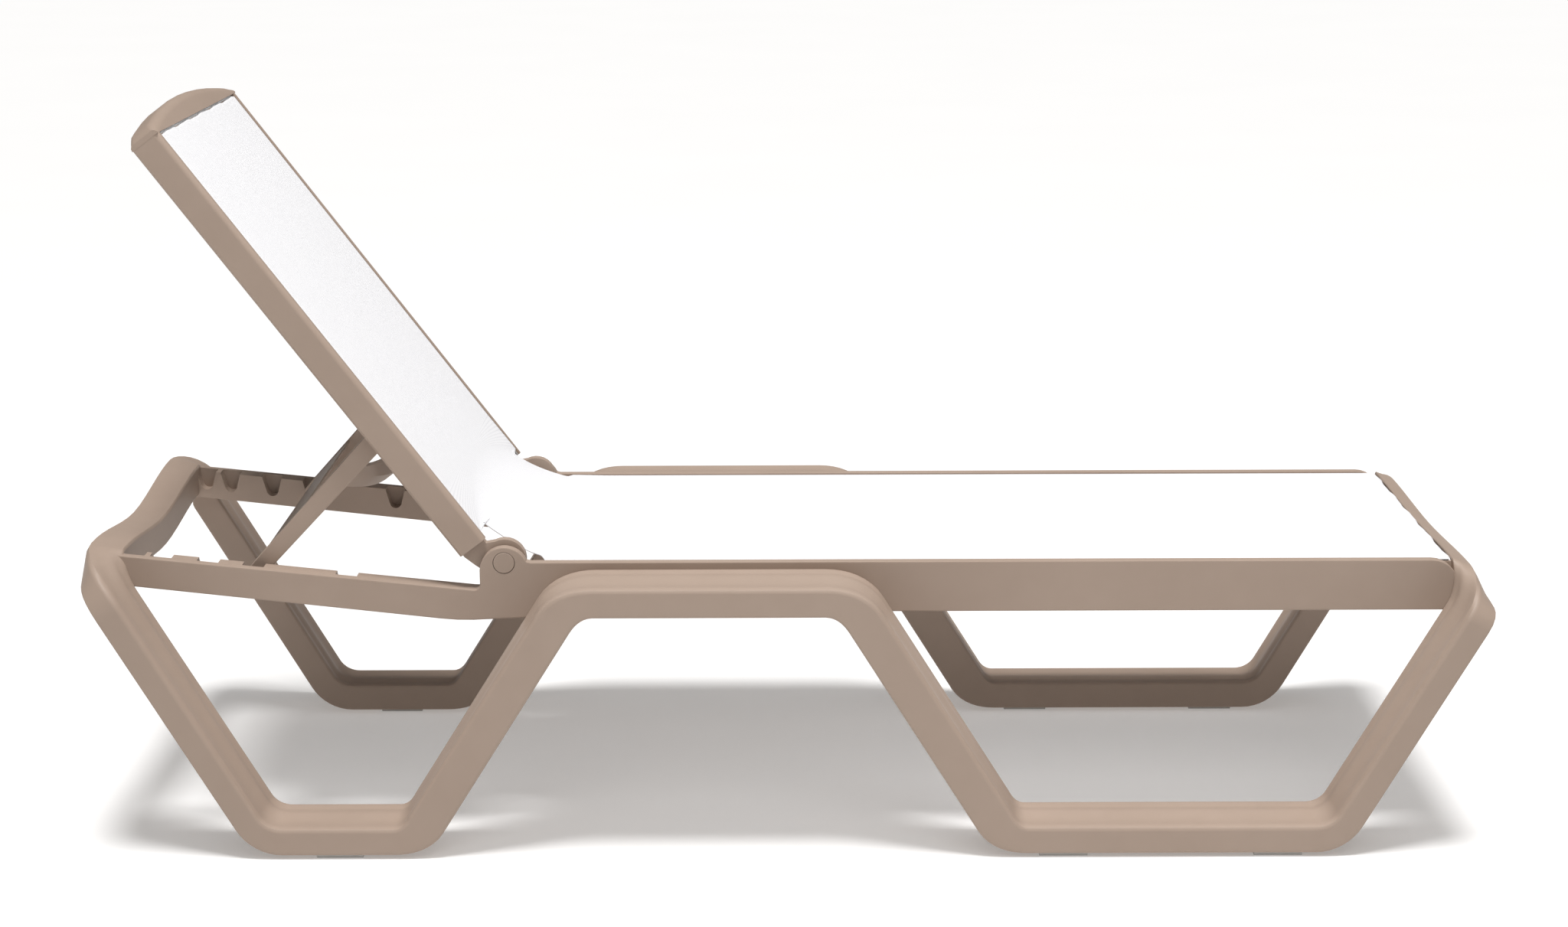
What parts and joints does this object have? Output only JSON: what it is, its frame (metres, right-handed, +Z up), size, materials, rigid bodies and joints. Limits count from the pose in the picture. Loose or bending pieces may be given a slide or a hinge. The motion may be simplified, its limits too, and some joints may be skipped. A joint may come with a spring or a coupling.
{
  "type": "sun lounger",
  "caption": "Sun lounger with looped side legs and armrests, a reclining backrest on a folding prop, and a woven sling.",
  "frame": {"origin": "on the ground under the middle of the lounger's box at rest", "axes": "+X towards the foot end, +Y across to the far side, +Z up"},
  "size_m": [1.8771, 0.71, 0.987],
  "materials": {
    "frame_plastic": "fine matt moulded plastic, warm dove grey",
    "sling_fabric": "white coated mesh weave",
    "glide_plastic": "light grey matt plastic",
    "plug_plastic": "dark grey matt plastic",
    "tab_plastic": "light grey matt plastic",
    "rod_plastic": "smooth extruded plastic",
    "tube_metal": "satin"
  },
  "bodies": {
    "root": {"main_frame": "frame_plastic", "hinge_pin_near": "frame_plastic", "hinge_pin_far": "frame_plastic", "seat_sling": "sling_fabric", "head_glide_near": "glide_plastic", "middle_glide_near": "glide_plastic", "foot_glide_near": "glide_plastic", "seat_groove_plug_near": "plug_plastic", "seat_rod_near": "rod_plastic", "head_glide_far": "glide_plastic", "middle_glide_far": "glide_plastic", "foot_glide_far": "glide_plastic", "seat_groove_plug_far": "plug_plastic", "seat_rod_far": "rod_plastic", "foot_rod": "rod_plastic", "seat_brace_head": "tube_metal", "seat_brace_foot": "tube_metal"},
    "backrest": {"backrest_frame": "frame_plastic", "back_sling": "sling_fabric", "head_rod": "rod_plastic", "back_rod_near": "rod_plastic", "back_rod_far": "rod_plastic", "back_groove_plug_near": "tab_plastic", "back_groove_plug_far": "tab_plastic", "prop_pin_near": "tube_metal", "prop_pin_far": "tube_metal"},
    "prop": {"prop_stay": "frame_plastic"}
  },
  "joints": [
    {"name": "backrest_recline", "type": "hinge", "parent": "root", "child": "backrest", "pos_m": [-0.377, 0, 0.386], "axis": [0, 1, 0], "range_deg": [-46, 17]},
    {"name": "prop_fold", "type": "hinge", "parent": "backrest", "child": "prop", "pos_m": [-0.5354, 0, 0.561], "axis": [0, 1, 0], "range_deg": [-40, 100]}
  ],
  "couplings": [
    {"joint": "prop_fold", "follows": "backrest_recline", "ratio": -2}
  ]
}
